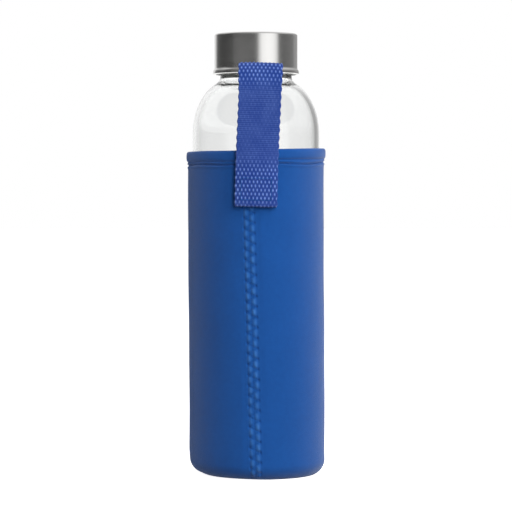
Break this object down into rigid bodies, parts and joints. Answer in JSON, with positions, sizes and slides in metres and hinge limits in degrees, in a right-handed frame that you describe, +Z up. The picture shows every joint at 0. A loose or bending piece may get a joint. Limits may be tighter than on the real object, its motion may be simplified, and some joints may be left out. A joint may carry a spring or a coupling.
{
  "type": "glass water bottle",
  "caption": "Clear glass water bottle with a screw-on steel cap, held in a stretchy blue carry sleeve with a webbing hand loop.",
  "frame": {"origin": "middle of the sleeve base's underside, on the bottle's axis", "axes": "+Z up along the bottle's axis; the strap and the sleeve's side seam face -Y"},
  "size_m": [0.0698, 0.0771, 0.22],
  "materials": {
    "glass": "clear, fire polished",
    "steel": "satin drawn stainless steel",
    "liner_plastic": "moulded, natural",
    "silicone": "soft translucent",
    "neoprene": "royal blue knit-faced neoprene",
    "thread": "blue sewing thread",
    "webbing": "royal blue woven webbing"
  },
  "bodies": {
    "sleeve": {"sleeve_tube": "neoprene", "sleeve_base": "neoprene", "side_seam_thread": "thread", "hem_thread": "thread", "base_seam_thread": "thread", "strap_sewn_end": "webbing", "strap_stitching": "thread"},
    "bottle": {"glass_bottle": "glass"},
    "cap_seal": {"cap_gasket": "silicone"},
    "cap": {"cap_shell": "steel", "cap_insert": "liner_plastic"},
    "strap": {"strap_loop": "webbing"}
  },
  "joints": [
    {"name": "bottle_pull", "type": "slide", "parent": "sleeve", "child": "bottle", "axis": [0, 0, 1], "range_m": [0, 0.165]},
    {"name": "cap_rise", "type": "slide", "parent": "bottle", "child": "cap_seal", "axis": [0, 0, 1], "range_m": [0, 0.01895]},
    {"name": "cap_turn", "type": "hinge", "parent": "cap_seal", "child": "cap", "pos_m": [0, 0, 0.2], "axis": [0, 0, 1], "range_deg": [0, 540]},
    {"name": "strap_swing", "type": "hinge", "parent": "sleeve", "child": "strap", "pos_m": [0, -0.03795, 0.15095], "axis": [0.9997, 0, -0.0236], "range_deg": [0, 150]}
  ],
  "couplings": [
    {"joint": "cap_rise", "follows": "cap_turn", "m_per_rad": 0.0020053}
  ]
}
